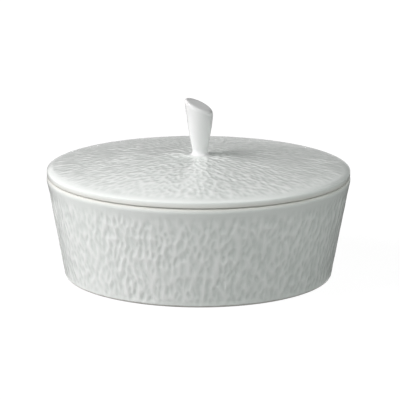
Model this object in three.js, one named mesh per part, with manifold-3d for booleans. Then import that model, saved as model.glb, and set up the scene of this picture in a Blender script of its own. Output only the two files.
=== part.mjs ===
// A round porcelain sugar bowl with a lift-off lid. The bowl flares from a flat foot to a smooth
// rim band. The lid is a shallow dome with a rolled shoulder and a locating flange that drops into
// the bowl's mouth. A stem-shaped knob, cut off at a slant, is luted to the lid's crown.
// Millimetres, +Z up. The origin is the centre of the foot, on the table.

import * as THREE from "three";
import { mergeVertices } from "three/addons/utils/BufferGeometryUtils.js";
import Module from "manifold-3d";

// Bowl
const RIM_RADIUS = 60; // crest of the rim band, the widest place
const FOOT_RADIUS = 53.1; // outer wall, carried straight down to the table
const BOWL_HEIGHT = 40; // table to the seat on top of the rim
const WALL = 4.2; // wall thickness, measured level
const FLOOR = 4; // floor thickness over the foot recess
const FLOOR_FILLET = 7; // inside, where the floor turns up into the wall
const BAND_HEIGHT = 3; // smooth rim band above the wall
const BAND_PROUD = 0.8; // how far the band stands out from the top of the wall
const BAND_STEP = 0.9; // height of the sloped underside of the band
const BAND_COVE = 3.5; // length of wall that curves outwards into the band
const RIM_ROUND = 1.1; // outer edge of the rim
const MOUTH_ROUND = 1; // inner edge of the rim
const FOOT_ROUND = 1; // outer edge of the foot
const FOOT_RING = 5; // width of the ring that stands on the table
const FOOT_RECESS = 1.5; // hollow inside the foot ring
const FOOT_RECESS_ROUND = 0.6; // both corners of the recess

// Lid, measured from its seat
const SEAT_GAP = 0.3; // between the rim and the seat of the lid
const LID_SETBACK = 0.1; // edge of the lid inside the crest of the rim band
const LID_CROWN = 7.7; // height of the dome in the middle
const LID_EDGE = 2.9; // height of the dome, carried out to the edge of the lid
const LID_THICKNESS = 3.8;
const SHOULDER_WIDTH = 8; // outer ring of the dome that rolls over to the edge
const SHOULDER_DROP = 1.8; // how far the roll reaches down the edge
const LID_SEAT_ROUND = 0.6; // lower corner of the edge
const FLANGE_DEPTH = 5; // below the seat
const FLANGE_THICKNESS = 3;
const FLANGE_CLEARANCE = 0.7; // to the bowl's inner wall, where it is closest
const FLANGE_ROUND = 0.8;

// Knob, measured from the flat on the lid's crown
const KNOB_OFFSET = 0.5; // towards +X from the middle of the lid
const KNOB_HEIGHT = 19.75; // to the middle of the slanted cut
const KNOB_WAIST_RADIUS = 2.95; // narrowest place, above the root
const KNOB_WAIST_HEIGHT = 1.8;
const KNOB_TOP_RADIUS = 5.9; // radius that the stem swells to, above the cut
const KNOB_SWELL_POWER = 1.7; // higher swells lower down
const KNOB_ROOT_FLARE = 1.3; // how far the root spreads past the waist
const KNOB_LEAN = 0.3; // how far the middle of the cut leans towards -X
const KNOB_CUT_SLANT = 25.2; // degrees from level, high on the -X side
const KNOB_CUT_TURN = -17.5; // degrees, turns the low side of the cut towards -Y
const CROWN_FLAT_MARGIN = 0.4; // flat of the crown that shows round the knob's root

// Fineness of the round forms
const BODY_SEGMENTS = 72;
const KNOB_SEGMENTS = 36;
const CORNER_STEPS = 3;
const CURVE_STEPS = 6;
const STEM_STEPS = 10;

const GLAZE = { color: 0xe6e9e6, roughness: 0.22, metalness: 0 };

const wasm = await Module();
wasm.setup();

// Turns corners into the points of an outline. A corner is [radius, height], or [radius, height,
// before, after] if it is rounded: the lengths of the two sides that its curve takes up, with
// after the same as before unless it is given. Two curves that would overrun a side share it.
function roundedOutline(corners) {
  const points = corners.map(([radius, height]) => new THREE.Vector2(radius, height));
  const before = corners.map(([, , length = 0]) => length);
  const after = corners.map(([, , length = 0, other = length]) => other);

  // Share of the side after corner i that a length along it takes up
  const share = (i, length) => {
    const side = points[i].distanceTo(points[i + 1]);
    return length / Math.max(side, after[i] + before[i + 1]);
  };

  return points.flatMap((corner, i) => {
    if (!before[i]) return [corner];
    const start = corner.clone().lerp(points[i - 1], share(i - 1, before[i]));
    const end = corner.clone().lerp(points[i + 1], share(i, after[i]));
    return new THREE.QuadraticBezierCurve(start, corner, end).getPoints(CORNER_STEPS);
  });
}

// Revolves an outline about +Z. It runs from the axis, under and round the outside, to the axis.
function revolve(points, segments) {
  return new THREE.LatheGeometry(points, segments).rotateX(Math.PI / 2);
}

function solidOf(geometry) {
  const bare = geometry.clone();
  bare.deleteAttribute("normal");
  bare.deleteAttribute("uv");
  const merged = mergeVertices(bare);
  const mesh = new wasm.Mesh({
    numProp: 3,
    vertProperties: new Float32Array(merged.getAttribute("position").array),
    triVerts: new Uint32Array(merged.index.array),
  });
  return new wasm.Manifold(mesh);
}

function geometryOf(solid) {
  const { vertProperties, triVerts } = solid.getMesh();
  const geometry = new THREE.BufferGeometry();
  geometry.setAttribute("position", new THREE.BufferAttribute(vertProperties, 3));
  geometry.setIndex(new THREE.BufferAttribute(triVerts, 1));
  geometry.computeVertexNormals();
  return geometry;
}

function piece(name, geometry) {
  const mesh = new THREE.Mesh(geometry, new THREE.MeshStandardMaterial(GLAZE));
  mesh.name = name;
  return mesh;
}

// Bowl: one shell
const bandBottom = BOWL_HEIGHT - BAND_HEIGHT;
const wallTopRadius = RIM_RADIUS - BAND_PROUD;
const floorTop = FOOT_RECESS + FLOOR;

function innerRadius(height) {
  return FOOT_RADIUS + ((wallTopRadius - FOOT_RADIUS) * height) / bandBottom - WALL;
}

function bowlGeometry() {
  const footInnerRadius = FOOT_RADIUS - FOOT_RING;
  const outline = roundedOutline([
    [0, FOOT_RECESS],
    [footInnerRadius, FOOT_RECESS, FOOT_RECESS_ROUND],
    [footInnerRadius, 0, FOOT_RECESS_ROUND],
    [FOOT_RADIUS, 0, FOOT_ROUND],
    [wallTopRadius, bandBottom, BAND_COVE, BAND_STEP],
    [RIM_RADIUS, bandBottom + BAND_STEP, BAND_STEP],
    [RIM_RADIUS, BOWL_HEIGHT, RIM_ROUND],
    [innerRadius(BOWL_HEIGHT), BOWL_HEIGHT, MOUTH_ROUND],
    [innerRadius(floorTop), floorTop, FLOOR_FILLET],
    [0, floorTop],
  ]);
  return revolve(outline, BODY_SEGMENTS);
}

// Lid: a dome of even thickness, with the shoulder outside and the flange below the seat
const lidRadius = RIM_RADIUS - LID_SETBACK;
const flangeBottom = BOWL_HEIGHT + SEAT_GAP - FLANGE_DEPTH;
const flangeRoom = Math.min(innerRadius(flangeBottom), innerRadius(BOWL_HEIGHT));
const knobRootRadius = KNOB_WAIST_RADIUS + KNOB_ROOT_FLARE;
const crownFlatRadius = KNOB_OFFSET + knobRootRadius + CROWN_FLAT_MARGIN;

function domeHeight(radius) {
  const rise = LID_CROWN - LID_EDGE;
  const sphereRadius = (lidRadius ** 2 + rise ** 2) / (2 * rise);
  return LID_CROWN - sphereRadius + Math.sqrt(sphereRadius ** 2 - radius ** 2);
}

// Corners along the dome between two radii, lowered by a thickness
function domeArc(from, to, lowered) {
  return Array.from({ length: CURVE_STEPS + 1 }, (_, k) => {
    const radius = THREE.MathUtils.lerp(from, to, k / CURVE_STEPS);
    return [radius, domeHeight(radius) - lowered];
  });
}

// Corners of the roll from the edge of the lid up to the dome
function shoulderRoll(domeRadius) {
  const roll = new THREE.QuadraticBezierCurve(
    new THREE.Vector2(lidRadius, LID_EDGE - SHOULDER_DROP),
    new THREE.Vector2(lidRadius, LID_EDGE),
    new THREE.Vector2(domeRadius, domeHeight(domeRadius)),
  );
  return roll.getPoints(CURVE_STEPS).map((point) => point.toArray());
}

function lidGeometry() {
  const flangeOuter = flangeRoom - FLANGE_CLEARANCE;
  const flangeInner = flangeOuter - FLANGE_THICKNESS;
  const domeRadius = lidRadius - SHOULDER_WIDTH;
  const outline = roundedOutline([
    ...domeArc(0, flangeInner - FLANGE_ROUND, LID_THICKNESS),
    [flangeInner, domeHeight(flangeInner) - LID_THICKNESS, FLANGE_ROUND],
    [flangeInner, -FLANGE_DEPTH, FLANGE_ROUND],
    [flangeOuter, -FLANGE_DEPTH, FLANGE_ROUND],
    [flangeOuter, 0, FLANGE_ROUND],
    [lidRadius, 0, LID_SEAT_ROUND],
    ...shoulderRoll(domeRadius).slice(0, -1),
    ...domeArc(domeRadius, crownFlatRadius, 0),
    [0, domeHeight(crownFlatRadius)],
  ]);
  return revolve(outline, BODY_SEGMENTS);
}

// Knob: a stem that swells and leans from a flared root, cut off by a slanted plane
function knobOutline(stemTop) {
  const root = new THREE.QuadraticBezierCurve(
    new THREE.Vector2(knobRootRadius, 0),
    new THREE.Vector2(KNOB_WAIST_RADIUS, 0),
    new THREE.Vector2(KNOB_WAIST_RADIUS, KNOB_WAIST_HEIGHT),
  );
  const stem = Array.from({ length: STEM_STEPS }, (_, k) => {
    const rise = (k + 1) / STEM_STEPS;
    const swell = 1 - (1 - rise) ** KNOB_SWELL_POWER;
    return new THREE.Vector2(
      THREE.MathUtils.lerp(KNOB_WAIST_RADIUS, KNOB_TOP_RADIUS, swell),
      THREE.MathUtils.lerp(KNOB_WAIST_HEIGHT, stemTop, rise),
    );
  });
  const bottom = new THREE.Vector2(0, 0);
  const top = new THREE.Vector2(0, stemTop);
  return [bottom, ...root.getPoints(CORNER_STEPS), ...stem, top];
}

// Bends the stem sideways, more and more towards the top
function leaned(geometry) {
  const position = geometry.getAttribute("position");
  for (let i = 0; i < position.count; i++) {
    const rise = position.getZ(i) / KNOB_HEIGHT;
    position.setX(i, position.getX(i) - KNOB_LEAN * rise ** 2);
  }
  return geometry;
}

function knobGeometry() {
  const slant = THREE.MathUtils.degToRad(KNOB_CUT_SLANT);
  const stemTop = KNOB_HEIGHT + 2 * KNOB_TOP_RADIUS * Math.tan(slant);
  const stem = solidOf(leaned(revolve(knobOutline(stemTop), KNOB_SEGMENTS)));
  const reach = 4 * stemTop;
  const cutter = new THREE.BoxGeometry(reach, reach, reach)
    .translate(0, 0, reach / 2)
    .rotateY(slant)
    .rotateZ(THREE.MathUtils.degToRad(KNOB_CUT_TURN))
    .translate(-KNOB_LEAN, 0, KNOB_HEIGHT);
  return geometryOf(stem.subtract(solidOf(cutter)));
}

const sugarBowl = new THREE.Group();
sugarBowl.add(piece("bowl", bowlGeometry()));

const cover = new THREE.Group();
cover.position.z = BOWL_HEIGHT + SEAT_GAP;
cover.add(piece("lid", lidGeometry()));
const knob = piece("lid_knob", knobGeometry());
knob.position.set(KNOB_OFFSET, 0, domeHeight(crownFlatRadius));
cover.add(knob);
sugarBowl.add(cover);

export default sugarBowl;
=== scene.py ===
"""Looks of a white porcelain sugar bowl: a flared bowl, a domed lift-off lid and its knob.

Every piece is turned from an outline. A relief of shallow gouge marks covers the wall of the bowl and
the dome of the lid, and a glossy glaze lies over all but the foot ring and the seat of the lid.
"""

from dataclasses import dataclass
from math import ceil, cos, pi, radians, sin, sqrt, tan, tau

import bpy
import numpy as np
from bpy.props import FloatProperty, FloatVectorProperty, IntProperty, PointerProperty
from mathutils import Matrix, Vector


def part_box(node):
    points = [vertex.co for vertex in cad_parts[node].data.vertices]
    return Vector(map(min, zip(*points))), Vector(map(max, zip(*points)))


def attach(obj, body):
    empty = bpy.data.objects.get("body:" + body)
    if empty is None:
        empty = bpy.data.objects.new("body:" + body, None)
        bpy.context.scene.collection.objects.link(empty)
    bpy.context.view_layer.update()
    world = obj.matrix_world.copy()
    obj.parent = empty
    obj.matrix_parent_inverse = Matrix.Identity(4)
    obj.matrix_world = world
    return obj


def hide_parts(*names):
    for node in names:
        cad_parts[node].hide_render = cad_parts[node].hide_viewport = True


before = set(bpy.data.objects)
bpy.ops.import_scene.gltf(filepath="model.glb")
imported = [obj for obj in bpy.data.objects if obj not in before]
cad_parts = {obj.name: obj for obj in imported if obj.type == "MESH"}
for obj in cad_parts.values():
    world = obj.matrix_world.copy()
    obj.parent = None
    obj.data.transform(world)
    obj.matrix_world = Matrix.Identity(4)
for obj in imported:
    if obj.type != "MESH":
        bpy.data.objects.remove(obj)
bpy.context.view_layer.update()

bl_info = {
    "name": "Porcelain sugar bowl",
    "version": (1, 0, 0),
    "blender": (4, 5, 0),
    "location": "View3D > Sidebar > Sugar bowl",
    "description": "Makes a glazed sugar bowl with a gouged relief, its lid and knob, and a small studio",
    "category": "Add Mesh",
}

BOWL_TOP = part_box("bowl")[1]
LID_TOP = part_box("lid")[1]
KNOB_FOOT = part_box("lid_knob")[0]

# Fineness of the meshes: columns round the axis, steps of a curve, and lengths between rows
BOWL_COLUMNS = 1000
LID_COLUMNS = 640
KNOB_COLUMNS = 120
CORNER_STEPS = 5
CURVE_STEPS = 12
WALL_ROW = 0.00065
DOME_ROW = 0.0005
UNDERSIDE_ROW = 0.004
MERGE_DISTANCE = 1e-6

# Names of the values along an outline and on the mesh that is turned from it
ALONG = "along"
RELIEF_WEIGHT = "relief_weight"
POOLING_AND_SHADE = "pooling"
BARE_AND_CONTACT_SHADOW = "bare"
THIN_AND_JOINT_SHADE = "thin"
LIFT = "lift"

# Where marks, thin glaze, bare porcelain and the knob's stem end, as shares of the sizes they follow. The
# darker thin glaze also paints the shade along the joint of lid and bowl, and the dark bare foot paints a
# contact shadow along its bottom edge
FOOT_MARGIN_FADE = 0.6
BARE_FOOT_ROUND = 0.75
MARKED_SHOULDER_WIDTH = 0.85
BARE_SEAT_ROUND = 0.3
THIN_EDGE_ROUND = 2.0
THIN_EDGE_HEIGHT = 0.6
STEM_END_ROUND = 1.5

# Relief: the slow noise that bends the rings and changes how deep the marks sink, the small bumps, which
# are twice as tall as they are wide, and two least values for the crown of the lid. The neighbours of a
# mark are counted in rings and in marks.
WANDER_SCALE = 90.0
STRAY_RANGE = (-0.25, 0.25)
SINK_RANGE = (-0.5, -1.3)
BUMP_SCALE = 420.0
BUMP_SQUEEZE = (1.0, 1.0, 0.5)
LEAST_MARKS = 3.0
LEAST_RADIUS = 0.002
NEIGHBOURS = [(ring, mark) for ring in (-1, 0, 1) for mark in (-1, 0, 1)]

# Glaze: how far it is pooled where there are no marks, between ridges (0) and marks (1), its specks, its
# edge at bare porcelain, and its peel, which is its soft unevenness. The pooled colour, darker and greener,
# is partly glaze pooling and partly painted shade in the hollows of the marks.
LEVEL_POOLING_AND_SHADE = 0.58
SPECK_SCALE = 210.0
SPECK_RARITY = 0.93
SPECK_RADII = (0.035, 0.075)
SPECK_SHADE = 0.4
GRAIN_SHADE = 0.3
GLAZE_EDGE = (0.4, 0.6)
BARE_ROUGHNESS = 0.5
PEEL_STRENGTH = 0.25
PEEL_HEIGHT = 0.00012
GLAZE_IOR = 1.5

# Noises of the glaze: scale, detail, and for some the values that the noise is spread between, from the
# range that most of it lies in
NOISE_RANGE = (0.3, 0.7)
CLOUDS = (38.0, 2.0, -0.15, 0.15)
RAGGED_EDGE = (700.0, 2.0, -0.25, 0.25)
GLOSS_CHANGE = (320.0, 3.0, -0.03, 0.05)
GRAIN = (5200.0, 3.0)
PEEL_NOISE = (620.0, 1.0)

# Floor: its level in the picture, which rises to white between two distances, the grey that takes the
# shadow, and the grey that throws light back on the object
WHITE = (1.0, 1.0, 1.0)
FLOOR_REACH = 5.0
FLOOR_GLOW = 0.94
FLOOR_FADE = (0.5, 1.2)
SHADOW_GREY = 0.12
BOUNCE_GREY = 0.2

# Cards, which show only in the gloss of the glaze. Upright ones have a name, sides, heights and a
# level, and ones on the floor a name, radii, bearings in degrees and a level.
BACK_CARD_PLACE = 0.5
BACK_CARDS = (
    ("far_left_card", (-0.5, -0.14), (0.0, 0.12), 0.1),
    ("low_left_card", (-0.14, 0.0), (0.0, 0.08), 0.5),
    ("middle_left_card", (-0.14, 0.0), (0.08, 0.24), 0.05),
    ("upper_left_card", (-0.14, 0.0), (0.24, 0.95), 0.75),
    ("low_right_card", (0.0, 1.2), (0.0, 0.08), 0.6),
    ("middle_right_card", (0.0, 1.2), (0.08, 0.19), 0.11),
    ("crown_card", (0.0, 0.11), (0.19, 0.38), 0.05),
    ("knob_top_card", (0.11, 0.19), (0.19, 0.38), 0.4),
    ("far_right_card", (0.19, 1.2), (0.19, 0.38), 0.02),
    ("upper_right_card", (0.0, 1.2), (0.38, 0.95), 0.35),
)
FLOOR_CARD_HEIGHT = 0.0003
FLOOR_CARD_STEPS = 48
FLOOR_CARDS = (
    ("near_floor_card", (0.054, 0.13), (0.0, 360.0), 0.1),
    ("wide_floor_card", (0.13, 0.34), (20.0, 300.0), 0.1),
    ("right_floor_card", (0.34, 0.6), (22.0, 202.0), 0.1),
)

# Softboxes, which face one point: name, setting that holds the power, bearing and elevation in degrees,
# size, tint, and whether the glaze mirrors it
LIT_POINT = Vector((0.0, 0.0, 0.03))
SOFTBOXES = (
    ("key_softbox", "key_power", 283.0, 36.0, (0.8, 0.8), (1.0, 0.945, 0.975), False),
    ("front_softbox", "front_power", 321.0, 8.0, (0.8, 0.4), (1.0, 0.98, 0.99), False),
    ("right_softbox", "right_power", 62.0, 52.0, (0.7, 0.5), WHITE, True),
    ("low_softbox", "low_power", 58.0, 8.0, (0.5, 0.5), WHITE, False),
    ("back_strip", "back_power", 180.0, 4.0, (0.6, 0.1), WHITE, False),
)

# Width of the camera's sensor, in millimetres
SENSOR_WIDTH = 36.0


# Settings

def number(name, description, default, **limits):
    return FloatProperty(name=name, description=description, default=default, **limits)


def length(name, description, default):
    return number(name, description, default, min=0.0, precision=5, subtype="DISTANCE", unit="LENGTH")


def angle(name, description, degrees):
    return number(name, description, radians(degrees), subtype="ANGLE", unit="ROTATION")


def share(name, description, default, most=1.0):
    return number(name, description, default, min=0.0, max=most, subtype="FACTOR")


def power(name, description, default):
    return number(name, description, default, min=0.0, subtype="POWER", unit="POWER")


def colour(name, description, default):
    return FloatVectorProperty(
        name=name, description=description, default=default, min=0.0, max=1.0, size=3, subtype="COLOR"
    )


class BowlSizes(bpy.types.PropertyGroup):
    """Outline of the bowl"""

    rim_radius: length("Rim radius", "Crest of the rim band, the widest place", BOWL_TOP.x)
    foot_radius: length("Foot radius", "Outer wall, carried straight down to the table", 0.0531)
    height: length("Height", "From the table to the top of the rim", BOWL_TOP.z)
    wall: length("Wall", "Thickness of the wall, measured level", 0.0042)
    floor: length("Floor", "Thickness of the floor", 0.004)
    floor_fillet: length("Floor fillet", "Inside curve from floor to wall", 0.007)
    band_height: length("Band height", "Smooth rim band above the wall", 0.0034)
    band_proud: length("Band proud", "How far the band stands out from the wall", 0.0004)
    band_step: length("Band step", "Height of the sloped underside of the band", 0.0016)
    band_cove: length("Band cove", "Length of wall that curves out into the band", 0.0035)
    band_round: length("Band round", "Curve from the underside of the band to its crest", 0.0005)
    rim_fall: length("Rim fall", "Upper part of the band that rounds over to the rim", 0.0013)
    rim_round: length("Rim round", "Width of the rounded outer edge of the rim", 0.0011)
    mouth_round: length("Mouth round", "Inner edge of the rim", 0.001)
    foot_round: length("Foot round", "Outer edge of the foot", 0.001)
    foot_ring: length("Foot ring", "Width of the ring that stands on the table", 0.005)
    foot_recess: length("Foot recess", "Depth of the hollow inside the foot ring", 0.0015)
    recess_round: length("Recess round", "Corners of the foot recess", 0.0006)

    @property
    def wall_height(self):
        """Height of the outer wall, up to the band."""
        return self.height - self.band_height

    @property
    def wall_top(self):
        """Radius of the outer wall where it meets the band."""
        return self.rim_radius - self.band_proud

    @property
    def flare(self):
        """How much wider the wall gets for its height."""
        return (self.wall_top - self.foot_radius) / self.wall_height

    def inner_radius(self, height):
        """Radius of the straight inner wall at a height."""
        return self.foot_radius + self.flare * height - self.wall


class LidSizes(bpy.types.PropertyGroup):
    """Outline of the lid, measured from its seat"""

    seat_gap: length("Seat gap", "Between the rim and the seat of the lid", 0.00016)
    radius: length("Radius", "Edge of the lid", LID_TOP.x)
    crown: length("Crown", "Height of the dome in the middle", 0.00784)
    edge: length("Edge", "Height of the dome, carried out to the edge", 0.00304)
    thickness: length("Thickness", "Thickness of the dome", 0.0038)
    shoulder_width: length("Shoulder width", "Ring that rolls over to the edge", 0.008)
    shoulder_drop: length("Shoulder drop", "How far the roll reaches down the edge", 0.0011)
    seat_round: length("Seat round", "Lower corner of the edge", 0.0004)
    flange_depth: length("Flange depth", "Flange below the seat", 0.00486)
    flange_thickness: length("Flange thickness", "Thickness of the flange", 0.003)
    flange_clearance: length("Flange clearance", "Gap to the inner wall of the bowl", 0.0007)
    flange_round: length("Flange round", "Corners of the flange", 0.0008)
    crown_flat: length("Crown flat", "Radius of the flat that carries the knob", 0.00515)

    def dome(self, radius):
        """Height of the dome at a radius."""
        rise = self.crown - self.edge
        sphere = (self.radius ** 2 + rise ** 2) / (2 * rise)
        return self.crown - sphere + sqrt(sphere ** 2 - radius ** 2)


class KnobSizes(bpy.types.PropertyGroup):
    """Outline of the knob, measured from the flat on the crown of the lid"""

    offset: length("Offset", "Place of the knob beside the middle of the lid", 0.0005)
    height: length("Height", "Up to the middle of the slanted cut", 0.02)
    waist_radius: length("Waist radius", "Narrowest place, above the root", 0.00295)
    waist_height: length("Waist height", "Height of the waist", 0.0018)
    top_radius: length("Top radius", "Radius that the stem swells to, above the cut", 0.0059)
    swell: share("Swell", "Power of the swelling: higher swells lower down", 1.7, most=6.0)
    root_flare: length("Root flare", "How far the root spreads past the waist", 0.0013)
    lean: length("Lean", "How far the middle of the cut leans to the left", 0.0003)
    cut_slant: angle("Cut slant", "Slant of the top, high on the left", 25.2)
    cut_turn: angle("Cut turn", "Turn of the low side of the cut", -17.5)
    cut_round: length("Cut round", "Softened edge of the cut", 0.0016)

    @property
    def stem_top(self):
        """Height that the stem would swell to without the cut."""
        return self.height + 2 * self.top_radius * tan(self.cut_slant)

    def stem_radius(self, height):
        """Radius of the stem at a height above its waist."""
        rise = (height - self.waist_height) / (self.stem_top - self.waist_height)
        swell = 1.0 - (1.0 - rise) ** self.swell
        return self.waist_radius + (self.top_radius - self.waist_radius) * swell


class ReliefSizes(bpy.types.PropertyGroup):
    """Gouge marks on the wall of the bowl and the dome of the lid"""

    wall_width: length("Wall mark spacing", "From one mark on the wall to the next", 0.0026)
    wall_length: length("Wall ring height", "Height of a ring of marks on the wall", 0.0031)
    wall_depth: length("Wall mark depth", "Depth of a mark on the wall", 0.00033)
    lid_width: length("Lid mark spacing", "From one mark on the lid to the next", 0.0024)
    lid_length: length("Lid ring width", "Width of a ring of marks on the lid", 0.0029)
    lid_depth: length("Lid mark depth", "Depth of a mark on the lid", 0.00019)
    crown_boost: share("Crown boost", "How much deeper the lid marks are at the knob's root", 0.9, most=3.0)
    crown_reach: length("Crown reach", "Radius out to which lid marks are deeper", 0.02)
    slimness: share("Slimness", "How slim a mark is for its length", 1.6, most=6.0)
    reach: share("Reach", "How far a mark reaches into the ridges beside it", 0.45, most=3.0)
    jitter: share("Jitter", "How far a mark strays from its place", 0.9)
    lean: share("Lean", "How far a mark leans sideways", 0.7, most=2.0)
    variation: share("Variation", "How much the sizes of the marks differ", 1.0, most=1.9)
    softness: share("Softness", "Rounding of the ridges between marks", 0.06)
    unevenness: share("Unevenness", "Small bumps on marks and ridges, as a share of the depth", 0.9)
    wander: length("Wander", "Bending of the rings of marks", 0.0016)
    foot_margin: length("Foot margin", "Smooth strip above the foot", 0.0014)
    band_margin: length("Band margin", "Strip below the band where marks fade", 0.0042)
    shoulder_margin: length("Shoulder margin", "Strip at the shoulder where marks fade", 0.0035)
    root_margin: length("Root margin", "Smooth strip around the knob's root", 0.0008)
    seed: IntProperty(name="Seed", description="Arrangement of the marks", default=11, min=0)

    def marks(self, spacing, ring, depth):
        """What the Geometry Nodes tree is told about marks of one size."""
        return {
            "Mark Width": spacing,
            "Mark Length": ring,
            "Mark Depth": depth,
            "Slimness": self.slimness,
            "Jitter": self.jitter,
            "Lean": self.lean,
            "Variation": self.variation,
            "Reach": self.reach,
            "Softness": self.softness,
            "Unevenness": self.unevenness,
            "Wander": self.wander,
        }


class GlazeColours(bpy.types.PropertyGroup):
    """Glaze and bare porcelain, whose pooled, thin and bare colours also paint shade"""

    glaze: colour("Glaze", "White glaze where it lies thin", (0.802, 0.843, 0.812))
    # Partly glaze that pools in the marks, partly painted shade there: darker and greener than the glaze
    pool: colour("Pooled glaze", "Glaze that pools in the marks", (0.664, 0.72, 0.682))
    smooth: colour("Smooth glaze", "Glaze of the knob, which has no marks", (0.705, 0.726, 0.713))
    # Warmer over edges, and darker to paint the shade along the joint under the lid's edge
    thin: colour("Thin glaze", "Glaze over an edge, where the body shows through", (0.65, 0.67, 0.617))
    # Bare porcelain, kept dark to paint the contact shadow along the bottom edge of the foot
    biscuit_and_contact_shadow: colour("Biscuit", "Bare porcelain of the foot ring and the seat", (0.535, 0.545, 0.515))
    speck: colour("Speck", "Small specks in the glaze", (0.42, 0.39, 0.34))


class StageSettings(bpy.types.PropertyGroup):
    """Camera and light"""

    distance: length("Distance", "From the camera to the point it looks at", 0.96)
    target_height: length("Target height", "Height of the point that the camera looks at", 0.021)
    elevation: angle("Elevation", "Height of the camera above level", 13.85)
    roll: angle("Roll", "Tilt of the camera about its line of sight", 0.18)
    focal_length: number("Focal length", "Lens, in millimetres", 217.3, min=1.0)
    shift: FloatVectorProperty(
        name="Shift", description="Place of the object in the frame", default=(0.0041, 0.0513), size=2
    )
    key_power: power("Key light", "Large softbox on the left", 12.1)
    front_power: power("Front light", "Low, wide softbox in front, to the left", 4.0)
    right_power: power("Right light", "High softbox on the right", 2.2)
    low_power: power("Low light", "Low softbox on the right", 3.4)
    back_power: power("Back light", "Low strip light behind, for the back of the wall", 4.0)
    fill_level: share("Fill", "Level of the light from all around", 0.06)


class SugarBowlSettings(bpy.types.PropertyGroup):
    """All settings of the sugar bowl"""

    bowl: PointerProperty(type=BowlSizes)
    lid: PointerProperty(type=LidSizes)
    knob: PointerProperty(type=KnobSizes)
    relief: PointerProperty(type=ReliefSizes)
    glaze: PointerProperty(type=GlazeColours)
    stage: PointerProperty(type=StageSettings)


# Outlines

@dataclass
class Corner:
    """A corner of an outline, with the lengths of its two sides that its curve takes up."""

    radius: float
    height: float
    before: float = 0.0
    after: float = None
    spacing: float = None

    @property
    def place(self):
        return Vector((self.radius, self.height))

    @property
    def beyond(self):
        return self.before if self.after is None else self.after


def curve_points(start, control, end, steps):
    """Points on a quadratic curve."""
    shares = [step / steps for step in range(steps + 1)]
    return [start.lerp(control, done).lerp(control.lerp(end, done), done) for done in shares]


def rounded_outline(corners):
    """Points of an outline. Two curves that would overrun a side share it, and a side whose corner
    has a spacing is divided to that spacing."""

    def side_share(i, taken):
        side = (corners[i].place - corners[i + 1].place).length
        return taken / max(side, corners[i].beyond + corners[i + 1].before)

    points = []
    for i, corner in enumerate(corners):
        if corner.before:
            start = corner.place.lerp(corners[i - 1].place, side_share(i - 1, corner.before))
            end = corner.place.lerp(corners[i + 1].place, side_share(i, corner.beyond))
            curve = curve_points(start, corner.place, end, CORNER_STEPS)
        else:
            curve = [corner.place]
        if i and corners[i - 1].spacing:
            last = points[-1]
            count = ceil((curve[0] - last).length / corners[i - 1].spacing)
            points += [last.lerp(curve[0], step / count) for step in range(1, count)]
        points += curve
    return points


def smooth_rise(low, high, values):
    """0 below low, 1 above high and a smooth curve between."""
    rise = np.clip((np.asarray(values) - low) / (high - low), 0.0, 1.0)
    return rise * rise * (3.0 - 2.0 * rise)


@dataclass
class Outline:
    """Points of an outline, from the axis below, round the outside, to the axis above, and the values
    that each of them hands on."""

    points: list
    values: dict

    @property
    def radii(self):
        return np.array([point[0] for point in self.points])

    @property
    def heights(self):
        return np.array([point[1] for point in self.points])

    def raised(self, height):
        return Outline([Vector((point[0], point[1] + height)) for point in self.points], self.values)


def new_outline(points):
    nothing = np.zeros(len(points))
    return Outline(points, {name: nothing for name in (ALONG, RELIEF_WEIGHT, BARE_AND_CONTACT_SHADOW, THIN_AND_JOINT_SHADE, LIFT)})


def bowl_outline(bowl, relief):
    floor_top = bowl.foot_recess + bowl.floor
    ring_inside = bowl.foot_radius - bowl.foot_ring
    outline = new_outline(rounded_outline([
        Corner(0.0, bowl.foot_recess),
        Corner(ring_inside, bowl.foot_recess, bowl.recess_round),
        Corner(ring_inside, 0.0, bowl.recess_round),
        Corner(bowl.foot_radius, 0.0, bowl.foot_round, spacing=WALL_ROW),
        Corner(bowl.wall_top, bowl.wall_height, bowl.band_cove, bowl.band_step),
        Corner(bowl.rim_radius, bowl.wall_height + bowl.band_step, bowl.band_step, bowl.band_round),
        Corner(bowl.rim_radius, bowl.height, bowl.rim_fall, bowl.rim_round),
        Corner(bowl.inner_radius(bowl.height), bowl.height, bowl.mouth_round),
        Corner(bowl.inner_radius(floor_top), floor_top, bowl.floor_fillet),
        Corner(0.0, floor_top),
    ]))
    heights = outline.heights
    before_rim = np.arange(len(heights)) < heights.argmax()
    on_wall = before_rim & (outline.radii > bowl.foot_radius - bowl.foot_round)
    low, high = relief.foot_margin, bowl.wall_height + bowl.band_step / 2
    fade = low * FOOT_MARGIN_FADE
    foot_rise = smooth_rise(low - fade, low + fade, heights)
    band_fade = 1.0 - smooth_rise(high - relief.band_margin, high, heights)
    outline.values[ALONG] = heights
    outline.values[RELIEF_WEIGHT] = np.where(on_wall, foot_rise * band_fade, 0.0)
    # The bare ring reaches up the foot's round, where its dark colour paints a contact shadow along the
    # bottom edge
    near_table = heights < bowl.foot_round * BARE_FOOT_ROUND
    on_ring = near_table & (outline.radii > ring_inside - bowl.recess_round)
    outline.values[BARE_AND_CONTACT_SHADOW] = np.where(on_ring, 1.0, 0.0)
    # The top of the band and the rim take the darker thin glaze, which paints the shade under the lid's edge
    outline.values[THIN_AND_JOINT_SHADE] = smooth_rise(bowl.height - bowl.band_step, bowl.height, heights)
    return outline


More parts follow.
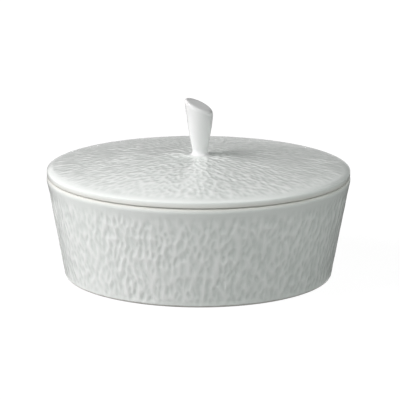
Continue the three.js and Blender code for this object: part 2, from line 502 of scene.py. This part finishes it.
def lid_outline(bowl, lid, relief):
    room = bowl.inner_radius(bowl.height + lid.seat_gap - lid.flange_depth)
    flange_outer = min(room, bowl.inner_radius(bowl.height)) - lid.flange_clearance
    flange_inner = flange_outer - lid.flange_thickness
    dome_radius = lid.radius - lid.shoulder_width
    under_end = flange_inner - lid.flange_round
    under = np.linspace(0.0, under_end, ceil(under_end / UNDERSIDE_ROW))
    dome = np.linspace(dome_radius, lid.crown_flat, ceil((dome_radius - lid.crown_flat) / DOME_ROW))
    roll = curve_points(
        Vector((lid.radius, lid.edge - lid.shoulder_drop)),
        Vector((lid.radius, lid.edge)),
        Vector((dome_radius, lid.dome(dome_radius))),
        CURVE_STEPS,
    )
    outline = new_outline(rounded_outline([
        *[Corner(radius, lid.dome(radius) - lid.thickness) for radius in under],
        Corner(flange_inner, lid.dome(flange_inner) - lid.thickness, lid.flange_round),
        Corner(flange_inner, -lid.flange_depth, lid.flange_round),
        Corner(flange_outer, -lid.flange_depth, lid.flange_round),
        Corner(flange_outer, 0.0, lid.flange_round),
        Corner(lid.radius, 0.0, lid.seat_round),
        *[Corner(*point) for point in roll[:-1]],
        *[Corner(radius, lid.dome(radius)) for radius in dome],
        Corner(0.0, lid.dome(lid.crown_flat)),
    ]))
    radii, heights = outline.radii, outline.heights
    outside = np.arange(len(radii)) >= radii.argmax()
    root = lid.crown_flat + relief.root_margin
    root_rise = smooth_rise(lid.crown_flat, root, radii)
    fade_end = dome_radius + lid.shoulder_width * MARKED_SHOULDER_WIDTH
    shoulder_fade = 1.0 - smooth_rise(fade_end - relief.shoulder_margin, fade_end, radii)
    outline.values[ALONG] = radii
    crown = 1.0 + relief.crown_boost * (1.0 - smooth_rise(root, relief.crown_reach, radii))
    outline.values[RELIEF_WEIGHT] = np.where(outside, root_rise * shoulder_fade * crown, 0.0)
    at_seat = np.abs(heights) < lid.seat_round * BARE_SEAT_ROUND
    outline.values[BARE_AND_CONTACT_SHADOW] = np.where(~outside & at_seat & (radii > flange_outer), 1.0, 0.0)
    # The lower edge of the lid takes the darker thin glaze, which paints the shade along the joint with the
    # bowl
    on_edge = radii > lid.radius - lid.seat_round * THIN_EDGE_ROUND
    edge_fade = 1.0 - smooth_rise(0.0, lid.edge * THIN_EDGE_HEIGHT, heights)
    outline.values[THIN_AND_JOINT_SHADE] = np.where(on_edge, edge_fade, 0.0)
    return outline.raised(bowl.height + lid.seat_gap)


def knob_outline(knob):
    root = curve_points(
        Vector((knob.waist_radius + knob.root_flare, 0.0)),
        Vector((knob.waist_radius, 0.0)),
        Vector((knob.waist_radius, knob.waist_height)),
        CURVE_STEPS,
    )
    stem_end = knob.height - knob.cut_round * STEM_END_ROUND
    stem = np.linspace(knob.waist_height, stem_end, 2 * CURVE_STEPS)[1:]
    outline = new_outline(rounded_outline([
        Corner(0.0, 0.0),
        *[Corner(*point) for point in root],
        *[Corner(knob.stem_radius(height), height) for height in stem],
        Corner(knob.stem_radius(knob.height), knob.height, knob.cut_round, spacing=knob.cut_round),
        Corner(0.0, knob.height),
    ]))
    outline.values[LIFT] = smooth_rise(knob.waist_height, knob.height - knob.cut_round, outline.heights)
    return outline.raised(KNOB_FOOT.z)


# Node trees

class NodeNet:
    """Adds and links the nodes of one tree."""

    def __init__(self, tree):
        self.tree = tree

    def put(self, socket, value):
        if isinstance(value, bpy.types.NodeSocket):
            self.tree.links.new(value, socket)
        else:
            socket.default_value = value

    def node(self, kind, inputs, **settings):
        node = self.tree.nodes.new(kind)
        for name, value in settings.items():
            setattr(node, name, value)
        for key, value in inputs.items():
            self.put(node.inputs[key], value)
        return node

    def math(self, operation, *values):
        return self.node("ShaderNodeMath", dict(enumerate(values)), operation=operation).outputs[0]

    def square_sum(self, x, y):
        return self.math("ADD", self.math("MULTIPLY", x, x), self.math("MULTIPLY", y, y))

    def vector(self, x, y, z):
        return self.node("ShaderNodeCombineXYZ", {"X": x, "Y": y, "Z": z}).outputs[0]

    def parts(self, vector):
        return self.node("ShaderNodeSeparateXYZ", {"Vector": vector}).outputs

    def strays(self, chance):
        """The three parts of a random colour, moved to lie about 0."""
        return [self.math("SUBTRACT", part, 0.5) for part in self.parts(chance)]

    def noise(self, place, scale, detail=1.0):
        return self.node("ShaderNodeTexNoise", {"Vector": place, "Scale": scale, "Detail": detail}).outputs

    def fit(self, value, low, high, to_low, to_high):
        values = {0: value, 1: low, 2: high, 3: to_low, 4: to_high}
        return self.node("ShaderNodeMapRange", values).outputs[0]

    def mix_colour(self, factor, first, second):
        # The colours are the seventh and eighth inputs and the third output of the node
        node = self.node("ShaderNodeMix", {0: factor, 6: first, 7: second}, data_type="RGBA")
        return node.outputs[2]

    def attribute(self, name):
        return self.node("GeometryNodeInputNamedAttribute", {"Name": name}).outputs["Attribute"]

    def shape(self, kind, geometry, **inputs):
        return self.node(kind, {"Geometry": geometry, **inputs}).outputs["Geometry"]

    def store(self, geometry, name, value):
        return self.shape("GeometryNodeStoreNamedAttribute", geometry, Name=name, Value=value)


def new_group(name, kind, inputs, outputs):
    """The net of a new node group, which has its sockets, and the ends that its nodes link to."""
    tree = bpy.data.node_groups.new(name, kind)
    for socket, socket_type, default in inputs:
        item = tree.interface.new_socket(socket, in_out="INPUT", socket_type=socket_type)
        if default is not None:
            item.default_value = default
    for socket, socket_type in outputs:
        tree.interface.new_socket(socket, in_out="OUTPUT", socket_type=socket_type)
    net = NodeNet(tree)
    return net, net.node("NodeGroupInput", {}).outputs, net.node("NodeGroupOutput", {}).inputs


# Inputs that say how the marks stand. A piece without marks leaves them at 1.
FLOAT = "NodeSocketFloat"
MARK_SOCKETS = (
    "Mark Width", "Mark Length", "Start Radius", "Growth", "Slimness", "Jitter", "Lean", "Variation", "Seed",
)
MARK_INPUTS = [(socket, FLOAT, 1.0) for socket in MARK_SOCKETS]


def gouge_mark_group():
    """How far a point lies from one gouge mark, squared, in ring widths. The marks stand in rings,
    side by side, and the steps say which one, counted from the point's own place."""
    name = "gouge_mark"
    if name in bpy.data.node_groups:
        return bpy.data.node_groups[name]
    places = [(socket, FLOAT, 0.0) for socket in ("Along", "Turn", "Ring Step", "Mark Step")]
    net, start, end = new_group(name, "GeometryNodeTree", places + MARK_INPUTS, [("Distance", FLOAT)])
    rings = net.math("DIVIDE", start["Along"], start["Mark Length"])
    ring = net.math("ADD", net.math("FLOOR", rings), start["Ring Step"])
    ring_middle = net.math("ADD", ring, 0.5)
    ring_along = net.math("MULTIPLY", ring_middle, start["Mark Length"])
    ring_radius = net.math("MULTIPLY_ADD", ring_along, start["Growth"], start["Start Radius"])
    marks_in_ring = net.math("DIVIDE", net.math("MULTIPLY", ring_radius, tau), start["Mark Width"])
    count = net.math("MAXIMUM", net.math("ROUND", marks_in_ring), LEAST_MARKS)
    stagger = net.math("MULTIPLY", net.math("FLOORED_MODULO", ring, 2.0), 0.5)
    marks = net.math("MULTIPLY_ADD", start["Turn"], count, stagger)
    mark = net.math("ADD", net.math("FLOOR", marks), start["Mark Step"])
    key = net.vector(ring, net.math("FLOORED_MODULO", mark, count), start["Seed"])
    chance = net.node("ShaderNodeTexWhiteNoise", {"Vector": key}).outputs
    stray = net.strays(chance["Color"])
    up = net.math("SUBTRACT", rings, net.math("MULTIPLY_ADD", stray[1], start["Jitter"], ring_middle))
    own_place = net.math("MULTIPLY_ADD", stray[0], start["Jitter"], net.math("ADD", mark, 0.5))
    straight = net.math("SUBTRACT", marks, own_place)
    lean = net.math("MULTIPLY", net.math("MULTIPLY", stray[2], start["Lean"]), up)
    across = net.math("MULTIPLY", net.math("ADD", straight, lean), start["Slimness"])
    smaller = net.math("MULTIPLY_ADD", net.math("SUBTRACT", chance["Value"], 0.5), start["Variation"], 1.0)
    net.put(end["Distance"], net.math("MULTIPLY", net.square_sum(across, up), smaller))
    return net.tree


def turned_grid(net, start):
    """Turns an outline about the vertical axis: one column of a grid for each step round the axis, and
    one row for each point of the outline, which hands on its values."""
    size = net.node("GeometryNodeAttributeDomainSize", {"Geometry": start["Outline"]})
    rows = size.outputs["Point Count"]
    columns = net.math("ADD", start["Columns"], 1.0)
    shape = net.node("GeometryNodeMeshGrid", {"Vertices X": columns, "Vertices Y": rows}).outputs["Mesh"]
    index = net.node("GeometryNodeInputIndex", {}).outputs["Index"]
    row = net.math("FLOORED_MODULO", index, rows)
    column = net.math("FLOOR", net.math("DIVIDE", net.math("ADD", index, 0.5), rows))
    turn = net.math("DIVIDE", column, start["Columns"])

    def from_outline(value, data_type="FLOAT"):
        values = {"Geometry": start["Outline"], "Value": value, "Index": row}
        return net.node("GeometryNodeSampleIndex", values, data_type=data_type).outputs["Value"]

    position = net.node("GeometryNodeInputPosition", {}).outputs["Position"]
    radius, _, height = net.parts(from_outline(position, "FLOAT_VECTOR"))
    bearing = net.math("MULTIPLY", turn, tau)
    away_x, away_y = net.math("COSINE", bearing), net.math("SINE", bearing)
    slope_x, slope_y, _ = net.parts(start["Slope"])
    fall = net.math("MULTIPLY_ADD", away_x, slope_x, net.math("MULTIPLY", away_y, slope_y))
    lift_share = from_outline(net.attribute(LIFT))
    lift = net.math("MULTIPLY", net.math("MULTIPLY", radius, fall), lift_share)
    height = net.math("ADD", height, lift)
    radius = net.math("MULTIPLY_ADD", lift, start["Flare"], radius)
    rise = net.math("MAXIMUM", net.math("SUBTRACT", height, start["Bend Foot"]), 0.0)
    bend = net.math("MULTIPLY", net.math("MULTIPLY", rise, rise), start["Bend"])
    x = net.math("MULTIPLY_ADD", radius, away_x, bend)
    place = net.vector(x, net.math("MULTIPLY", radius, away_y), height)
    for value in (ALONG, RELIEF_WEIGHT, BARE_AND_CONTACT_SHADOW, THIN_AND_JOINT_SHADE):
        shape = net.store(shape, value, from_outline(net.attribute(value)))
    shape = net.shape("GeometryNodeSetPosition", shape, Position=place)
    return net.shape("GeometryNodeMergeByDistance", shape, Distance=MERGE_DISTANCE)


def gouge_marks(net, start):
    """How deep each point lies in a gouge mark, from 0 on a ridge to about 1, and the depth of the marks
    there. The rings of marks wander a little."""
    position = net.node("GeometryNodeInputPosition", {}).outputs["Position"]
    stray_along, stray_round, deeper = net.strays(net.noise(position, WANDER_SCALE)["Color"])
    x, y, _ = net.parts(position)
    radius = net.math("SQRT", net.square_sum(x, y))
    turn = net.math("ADD", net.math("DIVIDE", net.math("ARCTAN2", y, x), tau), 0.5)
    round_length = net.math("MULTIPLY", net.math("MAXIMUM", radius, LEAST_RADIUS), tau)
    drift = net.math("DIVIDE", net.math("MULTIPLY", stray_round, start["Wander"]), round_length)
    turn = net.math("FLOORED_MODULO", net.math("ADD", turn, drift), 1.0)
    along = net.math("MULTIPLY_ADD", stray_along, start["Wander"], net.attribute(ALONG))
    nearest = None
    for ring_step, mark_step in NEIGHBOURS:
        values = {"Along": along, "Turn": turn, "Ring Step": ring_step, "Mark Step": mark_step}
        values.update({socket: start[socket] for socket in MARK_SOCKETS})
        mark = net.node("GeometryNodeGroup", values, node_tree=gouge_mark_group())
        distance = mark.outputs["Distance"]
        nearest = net.math("SMOOTH_MIN", nearest, distance, start["Softness"]) if nearest else distance
    hollow = net.math("EXPONENT", net.math("DIVIDE", nearest, net.math("MULTIPLY", start["Reach"], -1.0)))
    squeezed = net.node("ShaderNodeVectorMath", {0: position, 1: BUMP_SQUEEZE}, operation="MULTIPLY")
    small = net.noise(squeezed.outputs[0], BUMP_SCALE)["Fac"]
    bumps = net.math("MULTIPLY", net.math("SUBTRACT", small, 0.5), start["Unevenness"])
    hollow = net.math("MAXIMUM", net.math("ADD", hollow, bumps), 0.0)
    depth = net.math("MULTIPLY", start["Mark Depth"], net.fit(deeper, *STRAY_RANGE, *SINK_RANGE))
    return hollow, depth


def turned_relief_group():
    """Turns an outline about the vertical axis and sinks gouge marks into it."""
    name = "turned_relief"
    if name in bpy.data.node_groups:
        return bpy.data.node_groups[name]
    inputs = [
        ("Outline", "NodeSocketGeometry", None),
        ("Columns", "NodeSocketInt", None),
        ("Centre", "NodeSocketVector", None),
        ("Slope", "NodeSocketVector", None),
        ("Flare", FLOAT, 0.0),
        ("Bend", FLOAT, 0.0),
        ("Bend Foot", FLOAT, 0.0),
        *MARK_INPUTS,
        ("Mark Depth", FLOAT, 0.0),
        ("Reach", FLOAT, 1.0),
        ("Softness", FLOAT, 0.0),
        ("Unevenness", FLOAT, 0.0),
        ("Wander", FLOAT, 0.0),
        ("Finish", "NodeSocketMaterial", None),
    ]
    net, start, end = new_group(name, "GeometryNodeTree", inputs, [("Piece", "NodeSocketGeometry")])
    net.tree.is_modifier = True
    shape = turned_grid(net, start)
    hollow, depth = gouge_marks(net, start)
    weight = net.attribute(RELIEF_WEIGHT)
    # Share of the pooled colour, which is partly painted shade in the marks: a level share off the marks,
    # the hollow on them
    shape = net.store(shape, POOLING_AND_SHADE, net.fit(weight, 0.0, 1.0, LEVEL_POOLING_AND_SHADE, hollow))
    sink = net.math("MULTIPLY", hollow, net.math("MULTIPLY", weight, depth))
    normal = net.node("GeometryNodeInputNormal", {}).outputs["Normal"]
    offset = net.node("ShaderNodeVectorMath", {0: normal, "Scale": sink}, operation="SCALE").outputs[0]
    for move in (offset, start["Centre"]):
        shape = net.shape("GeometryNodeSetPosition", shape, Offset=move)
    shape = net.shape("GeometryNodeRealizeInstances", shape)
    net.put(end["Piece"], net.shape("GeometryNodeSetMaterial", shape, Material=start["Finish"]))
    return net.tree


def add_object(name, data):
    """A new object in the scene."""
    obj = bpy.data.objects.new(name, data)
    bpy.context.scene.collection.objects.link(obj)
    return obj


def outline_object(name, outline):
    """An outline as an object of points and edges, with the values that each point hands on."""
    mesh = bpy.data.meshes.new(f"{name}_outline")
    places = [(point[0], 0.0, point[1]) for point in outline.points]
    mesh.from_pydata(places, [(i, i + 1) for i in range(len(places) - 1)], [])
    for value, numbers in outline.values.items():
        layer = mesh.attributes.new(value, "FLOAT", "POINT")
        layer.data.foreach_set("value", np.asarray(numbers, np.float32))
    return add_object(f"{name}_outline", mesh)


def turned_piece(name, outline, settings):
    """Turns an outline with the Geometry Nodes tree and keeps the result as a plain mesh."""
    source = outline_object(name, outline)
    tree = turned_relief_group()
    modifier = source.modifiers.new("turning", "NODES")
    modifier.node_group = tree
    for item in tree.interface.items_tree:
        if item.in_out == "INPUT" and item.name in settings:
            modifier[item.identifier] = settings[item.name]
    bpy.context.view_layer.update()
    turned = source.evaluated_get(bpy.context.evaluated_depsgraph_get())
    mesh = bpy.data.meshes.new_from_object(turned)
    if not mesh.polygons:
        raise RuntimeError(f"{name} came out empty")
    mesh.name = name
    mesh.shade_smooth()
    source.modifiers.remove(modifier)
    bpy.data.objects.remove(source)
    return add_object(name, mesh)


def seat_piece(piece, node, body):
    """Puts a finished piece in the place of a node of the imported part."""
    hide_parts(node)
    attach(piece, body)


# Glaze

def glaze_group():
    """Porcelain glaze: white on ridges, pooled and cooler in hollows, thin and warmer over edges, bare where
    the mask says so, with a few specks, and a height for its soft unevenness. The darker pooled colour is
    partly painted shade in the hollows, the darker thin glaze paints the shade along the joint, and the dark
    bare colour paints the contact shadow at the foot."""
    name = "porcelain_glaze"
    if name in bpy.data.node_groups:
        return bpy.data.node_groups[name]
    colour_socket = "NodeSocketColor"
    inputs = [
        ("Pooling", FLOAT, LEVEL_POOLING_AND_SHADE),
        ("Bare", FLOAT, 0.0),
        ("Thin", FLOAT, 0.0),
        ("Glaze", colour_socket, None),
        ("Pool", colour_socket, None),
        ("Thin Glaze", colour_socket, None),
        ("Biscuit", colour_socket, None),
        ("Speck", colour_socket, None),
        ("Gloss Roughness", FLOAT, 0.0),
        ("Peel", FLOAT, 1.0),
    ]
    outputs = [("Colour", colour_socket), ("Roughness", FLOAT), ("Height", FLOAT)]
    net, start, end = new_group(name, "ShaderNodeTree", inputs, outputs)
    place = net.node("ShaderNodeTexCoord", {}).outputs["Object"]

    def spread_noise(scale, detail, low, high):
        return net.fit(net.noise(place, scale, detail)["Fac"], *NOISE_RANGE, low, high)

    # Colour: pooled glaze, partly painted shade in the marks, a slow change of thickness, thin edges, partly
    # painted shade along the joint, a few specks
    pooled = net.math("ADD", start["Pooling"], spread_noise(*CLOUDS))
    even = net.mix_colour(pooled, start["Glaze"], start["Pool"])
    glazed = net.mix_colour(start["Thin"], even, start["Thin Glaze"])
    dots = net.node("ShaderNodeTexVoronoi", {"Vector": place, "Scale": SPECK_SCALE})
    rare = net.math("GREATER_THAN", net.parts(dots.outputs["Color"])[0], SPECK_RARITY)
    small = net.fit(dots.outputs["Distance"], *SPECK_RADII, SPECK_SHADE, 0.0)
    specked = net.mix_colour(net.math("MULTIPLY", rare, small), glazed, start["Speck"])

    # Bare porcelain, whose dark colour paints the contact shadow at the foot, with an uneven edge to the
    # glaze
    ragged = net.math("ADD", start["Bare"], spread_noise(*RAGGED_EDGE))
    bare = net.fit(ragged, *GLAZE_EDGE, 0.0, 1.0)
    grain = net.noise(place, *GRAIN)["Fac"]
    clay_and_contact_shadow = net.mix_colour(net.fit(grain, *NOISE_RANGE, 0.0, GRAIN_SHADE), start["Biscuit"], start["Speck"])
    net.put(end["Colour"], net.mix_colour(bare, specked, clay_and_contact_shadow))

    # Gloss and unevenness
    gloss = net.math("ADD", start["Gloss Roughness"], spread_noise(*GLOSS_CHANGE))
    net.put(end["Roughness"], net.math("MULTIPLY_ADD", bare, BARE_ROUGHNESS, gloss))
    peel = net.math("MULTIPLY", net.noise(place, *PEEL_NOISE)["Fac"], start["Peel"])
    net.put(end["Height"], net.math("ADD", peel, net.math("MULTIPLY", bare, grain)))
    return net.tree


def glaze_material(name, colours, glaze, pool, gloss_roughness=0.14, peel=1.0):
    """A glossy glaze over porcelain, with its own values for the shared effect."""
    material = bpy.data.materials.new(name)
    material.use_nodes = True
    net = NodeNet(material.node_tree)

    def layer(value):
        return net.node("ShaderNodeAttribute", {}, attribute_name=value).outputs["Fac"]

    values = {
        "Pooling": layer(POOLING_AND_SHADE),
        "Bare": layer(BARE_AND_CONTACT_SHADOW),
        "Thin": layer(THIN_AND_JOINT_SHADE),
        "Glaze": (*glaze, 1.0),
        "Pool": (*pool, 1.0),
        "Thin Glaze": (*colours.thin, 1.0),
        "Biscuit": (*colours.biscuit_and_contact_shadow, 1.0),
        "Speck": (*colours.speck, 1.0),
        "Gloss Roughness": gloss_roughness,
        "Peel": peel,
    }
    effect = net.node("ShaderNodeGroup", values, node_tree=glaze_group()).outputs
    bump = {"Height": effect["Height"], "Strength": PEEL_STRENGTH, "Distance": PEEL_HEIGHT}
    surface = net.tree.nodes["Principled BSDF"].inputs
    net.put(surface["Base Color"], effect["Colour"])
    net.put(surface["Roughness"], effect["Roughness"])
    net.put(surface["Normal"], net.node("ShaderNodeBump", bump).outputs["Normal"])
    net.put(surface["IOR"], GLAZE_IOR)
    return material


# Pieces

class SUGARBOWL_OT_make_bowl(bpy.types.Operator):
    """Make the flared bowl, with its rim band, foot ring and gouged wall"""

    bl_idname = "sugar_bowl.make_bowl"
    bl_label = "Make bowl"

    def execute(self, context):
        settings = context.scene.sugar_bowl
        bowl, relief, glaze = settings.bowl, settings.relief, settings.glaze
        piece = turned_piece("porcelain_bowl", bowl_outline(bowl, relief), {
            **relief.marks(relief.wall_width, relief.wall_length, relief.wall_depth),
            "Columns": BOWL_COLUMNS,
            "Start Radius": bowl.foot_radius,
            "Growth": bowl.flare,
            "Seed": float(relief.seed),
            "Finish": glaze_material("bowl_glaze", glaze, glaze.glaze, glaze.pool),
        })
        seat_piece(piece, "bowl", "bowl")
        return {"FINISHED"}


class SUGARBOWL_OT_make_lid(bpy.types.Operator):
    """Make the domed lid, with its rolled shoulder, locating flange and radial gouge marks"""

    bl_idname = "sugar_bowl.make_lid"
    bl_label = "Make lid"

    def execute(self, context):
        settings = context.scene.sugar_bowl
        relief, glaze = settings.relief, settings.glaze
        piece = turned_piece("domed_lid", lid_outline(settings.bowl, settings.lid, relief), {
            **relief.marks(relief.lid_width, relief.lid_length, relief.lid_depth),
            "Columns": LID_COLUMNS,
            "Start Radius": 0.0,
            "Growth": 1.0,
            "Seed": float(relief.seed + 1),
            "Finish": glaze_material("lid_glaze", glaze, glaze.glaze, glaze.pool),
        })
        seat_piece(piece, "lid", "lid")
        return {"FINISHED"}


class SUGARBOWL_OT_make_knob(bpy.types.Operator):
    """Make the stem-shaped knob, which is cut off at a slant"""

    bl_idname = "sugar_bowl.make_knob"
    bl_label = "Make knob"

    def execute(self, context):
        settings = context.scene.sugar_bowl
        knob, glaze = settings.knob, settings.glaze
        fall = -tan(knob.cut_slant)
        low, high = [knob.height + side * fall * knob.stem_radius(knob.height) for side in (1, -1)]
        piece = turned_piece("stem_knob", knob_outline(knob), {
            "Columns": KNOB_COLUMNS,
            "Centre": (knob.offset, 0.0, 0.0),
            "Slope": (fall * cos(knob.cut_turn), fall * sin(knob.cut_turn), 0.0),
            "Flare": (knob.stem_radius(high) - knob.stem_radius(low)) / (high - low),
            "Bend": -knob.lean / knob.height ** 2,
            "Bend Foot": KNOB_FOOT.z,
            "Finish": glaze_material(
                "knob_glaze", glaze, glaze.smooth, glaze.smooth, gloss_roughness=0.15, peel=0.8
            ),
        })
        seat_piece(piece, "lid_knob", "lid")
        return {"FINISHED"}


# Stage

def seen_rays(net):
    """1 for rays that show the background itself: straight from the camera, mirrored or let through."""
    path = net.node("ShaderNodeLightPath", {}).outputs
    seen = net.math("MAXIMUM", path["Is Camera Ray"], path["Is Glossy Ray"])
    return net.math("MAXIMUM", seen, path["Is Transmission Ray"])


def empty_net(owner):
    """The net of a new material or world, without the nodes that it starts with."""
    owner.use_nodes = True
    owner.node_tree.nodes.clear()
    return NodeNet(owner.node_tree)


def floor_material():
    """Pale floor that shows as white, keeps a soft shadow and lets views from below through."""
    material = bpy.data.materials.new("pale_floor")
    net = empty_net(material)
    point = net.node("ShaderNodeNewGeometry", {}).outputs
    distance = net.node("ShaderNodeVectorMath", {0: point["Position"]}, operation="LENGTH")
    level = net.fit(distance.outputs["Value"], *FLOOR_FADE, FLOOR_GLOW, 1.0)
    glow = net.node("ShaderNodeEmission", {"Color": (*WHITE, 1.0), "Strength": level}).outputs[0]
    shadow, matt = [
        net.node("ShaderNodeBsdfDiffuse", {"Color": (grey, grey, grey, 1.0)}).outputs[0]
        for grey in (SHADOW_GREY, BOUNCE_GREY)
    ]
    white = net.node("ShaderNodeAddShader", {0: glow, 1: shadow}).outputs[0]
    pale = net.node("ShaderNodeMixShader", {0: seen_rays(net), 1: matt, 2: white}).outputs[0]
    clear = net.node("ShaderNodeBsdfTransparent", {}).outputs[0]
    surface = net.node("ShaderNodeMixShader", {0: point["Backfacing"], 1: pale, 2: clear}).outputs[0]
    net.node("ShaderNodeOutputMaterial", {"Surface": surface})
    return material


def card_material(name, level):
    material = bpy.data.materials.new(name)
    net = empty_net(material)
    grey = net.node("ShaderNodeEmission", {"Strength": level}).outputs[0]
    net.node("ShaderNodeOutputMaterial", {"Surface": grey})
    return material


def make_world(fill_level):
    world = bpy.data.worlds.new("studio")
    net = empty_net(world)
    level = net.fit(seen_rays(net), 0.0, 1.0, fill_level, 1.0)
    background = net.node("ShaderNodeBackground", {"Color": (*WHITE, 1.0), "Strength": level}).outputs[0]
    net.node("ShaderNodeOutputWorld", {"Surface": background})
    bpy.context.scene.world = world


def stage_sheet(name, corners, faces, material):
    """A flat thing of the stage that isn't part of the object."""
    mesh = bpy.data.meshes.new(name)
    mesh.from_pydata(corners, [], faces)
    mesh.materials.append(material)
    sheet = add_object(name, mesh)
    return sheet


def grey_card(name, corners, faces, level):
    """A card that the camera doesn't see and that throws no light or shadow. It only takes the place
    of the white surroundings in the gloss of the glaze."""
    card = stage_sheet(name, corners, faces, card_material(name, level))
    card.visible_camera = False
    card.visible_diffuse = False
    card.visible_shadow = False


def floor_card(name, radii, bearings, level):
    """A card on the floor: a ring, or the piece of a ring between two bearings."""
    count = FLOOR_CARD_STEPS
    turns = np.radians(np.linspace(*bearings, count + 1))
    corners = [
        (radius * sin(turn), -radius * cos(turn), FLOOR_CARD_HEIGHT) for radius in radii for turn in turns
    ]
    faces = [(step, step + 1, step + count + 2, step + count + 1) for step in range(count)]
    grey_card(name, corners, faces, level)


def back_card(name, sides, heights, level):
    """An upright card behind the object."""
    (left, right), (low, high) = sides, heights
    places = [(left, low), (right, low), (right, high), (left, high)]
    grey_card(name, [(x, BACK_CARD_PLACE, z) for x, z in places], [range(4)], level)


def softbox(name, watts, bearing, elevation, size, tint, mirrored):
    """A softbox a metre away. Bearings are in degrees from the camera's side towards the right."""
    turn, tilt = radians(bearing), radians(elevation)
    towards = Vector((sin(turn) * cos(tilt), -cos(turn) * cos(tilt), sin(tilt)))
    light = bpy.data.lights.new(name, "AREA")
    light.shape = "RECTANGLE"
    light.size, light.size_y = size
    light.energy = watts
    light.color = tint
    lamp = add_object(name, light)
    lamp.location = towards + LIT_POINT
    lamp.rotation_euler = towards.to_track_quat("Z", "Y").to_euler()
    lamp.visible_camera = False
    lamp.visible_glossy = mirrored


def make_floor():
    places = ((-1, -1), (1, -1), (1, 1), (-1, 1))
    corners = [(x * FLOOR_REACH, y * FLOOR_REACH, 0.0) for x, y in places]
    stage_sheet("floor", corners, [range(4)], floor_material())


def make_camera(stage):
    data = bpy.data.cameras.new("camera")
    data.lens = stage.focal_length
    data.sensor_width = SENSOR_WIDTH
    data.shift_x, data.shift_y = stage.shift
    data.dof.use_dof = False
    camera = add_object("camera", data)
    camera.location = (
        0.0,
        -stage.distance * cos(stage.elevation),
        stage.target_height + stage.distance * sin(stage.elevation),
    )
    turned = Matrix.Rotation(pi / 2 - stage.elevation, 3, "X") @ Matrix.Rotation(stage.roll, 3, "Z")
    camera.rotation_euler = turned.to_euler()
    bpy.context.scene.camera = camera


class SUGARBOWL_OT_make_stage(bpy.types.Operator):
    """Make the floor, the grey cards, the lights and the camera"""

    bl_idname = "sugar_bowl.make_stage"
    bl_label = "Make stage"

    def execute(self, context):
        stage = context.scene.sugar_bowl.stage
        context.scene.view_settings.view_transform = "Standard"
        make_world(stage.fill_level)
        make_floor()
        for card in BACK_CARDS:
            back_card(*card)
        for card in FLOOR_CARDS:
            floor_card(*card)
        for name, setting, *placing in SOFTBOXES:
            softbox(name, getattr(stage, setting), *placing)
        make_camera(stage)
        return {"FINISHED"}


# Panel

class SUGARBOWL_PT_pieces(bpy.types.Panel):
    """Settings and steps of the sugar bowl"""

    bl_label = "Sugar bowl"
    bl_space_type = "VIEW_3D"
    bl_region_type = "UI"
    bl_category = "Sugar bowl"

    def draw(self, context):
        settings = context.scene.sugar_bowl
        for step in OPERATORS:
            self.layout.operator(step.bl_idname)
        for name in ("bowl", "lid", "knob", "relief", "glaze", "stage"):
            group = getattr(settings, name)
            box = self.layout.box()
            box.label(text=name.capitalize())
            for prop in group.bl_rna.properties:
                if prop.identifier not in ("name", "rna_type"):
                    box.prop(group, prop.identifier)


SETTINGS = (BowlSizes, LidSizes, KnobSizes, ReliefSizes, GlazeColours, StageSettings, SugarBowlSettings)
OPERATORS = (
    SUGARBOWL_OT_make_bowl,
    SUGARBOWL_OT_make_lid,
    SUGARBOWL_OT_make_knob,
    SUGARBOWL_OT_make_stage,
)
CLASSES = SETTINGS + OPERATORS + (SUGARBOWL_PT_pieces,)


def register():
    for cls in CLASSES:
        bpy.utils.register_class(cls)
    bpy.types.Scene.sugar_bowl = PointerProperty(type=SugarBowlSettings)


def unregister():
    del bpy.types.Scene.sugar_bowl
    for cls in reversed(CLASSES):
        bpy.utils.unregister_class(cls)


def main():
    register()
    bpy.ops.sugar_bowl.make_bowl()
    bpy.ops.sugar_bowl.make_lid()
    bpy.ops.sugar_bowl.make_knob()
    bpy.ops.sugar_bowl.make_stage()


if __name__ == "__main__":
    main()
